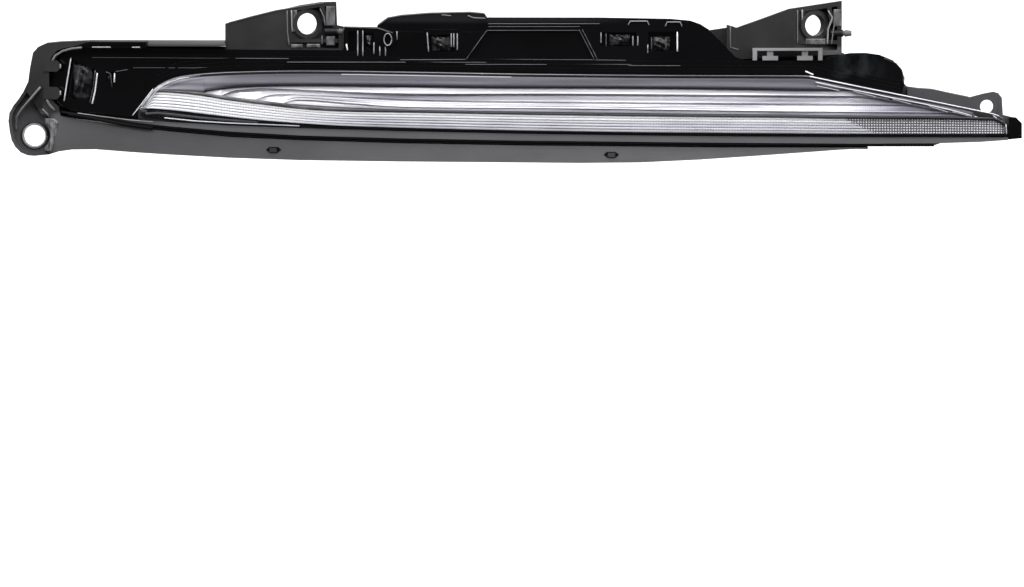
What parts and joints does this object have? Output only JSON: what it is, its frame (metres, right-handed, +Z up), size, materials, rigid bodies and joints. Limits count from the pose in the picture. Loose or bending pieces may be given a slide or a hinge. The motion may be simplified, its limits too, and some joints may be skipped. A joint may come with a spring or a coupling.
{
  "type": "daytime running light",
  "caption": "Slim curved daytime running light: clear lens over a fluted reflector and ribbed optic, gloss black bezel, carrier with screw ears, plug socket behind.",
  "frame": {"origin": "centre of the outer ear's screw hole, on the ear's front seat", "axes": "+X runs inboard along the lamp, -Y faces forward out of the car, +Z is up"},
  "size_m": [0.5601, 0.0677, 0.0889],
  "materials": {
    "carrier_plastic": "fine-grained moulded plastic",
    "housing_plastic": "plain moulded plastic",
    "gloss_black": "high-gloss black",
    "clear_lens": "clear, polished",
    "seal_rubber": "soft gasket",
    "reflector_metallised": "metallised, satin bright",
    "optic_clear": "clear, ribbed",
    "guide_clear": "clear, polished",
    "trim_grey": "satin grey",
    "lip_rubber": "ribbed black rubber",
    "board_green": "solder mask",
    "led_white": "phosphor window",
    "led_amber": "amber window",
    "sink_aluminium": "bare extruded",
    "driver_case": "die-cast, blasted",
    "screw_steel": "zinc plated",
    "socket_plastic": "glass-filled plastic",
    "contact_brass": "tinned brass",
    "vent_plastic": "plain plastic",
    "clip_grey": "satin light grey",
    "stud_grey": "satin grey",
    "peg_plastic": "plain plastic",
    "lead_film": "amber film"
  },
  "bodies": {
    "root": {"carrier": "carrier_plastic", "housing": "housing_plastic", "bezel": "gloss_black", "lens": "clear_lens", "lens_seal": "seal_rubber", "reflector": "reflector_metallised", "pillow_optic": "optic_clear", "light_guide": "guide_clear", "trim_rail": "trim_grey", "end_cap": "gloss_black", "seal_strip": "lip_rubber", "drl_board": "board_green", "drl_leds": "led_white", "signal_board": "board_green", "signal_leds": "led_amber", "heat_sink": "sink_aluminium", "driver_module": "driver_case", "driver_screws": "screw_steel", "plug_socket": "socket_plastic", "contact_pins": "contact_brass", "vent_cap": "vent_plastic", "retaining_clip": "clip_grey", "snap_studs": "stud_grey", "locating_pegs": "peg_plastic", "unit_screws": "screw_steel", "flex_lead": "lead_film"}
  },
  "joints": []
}
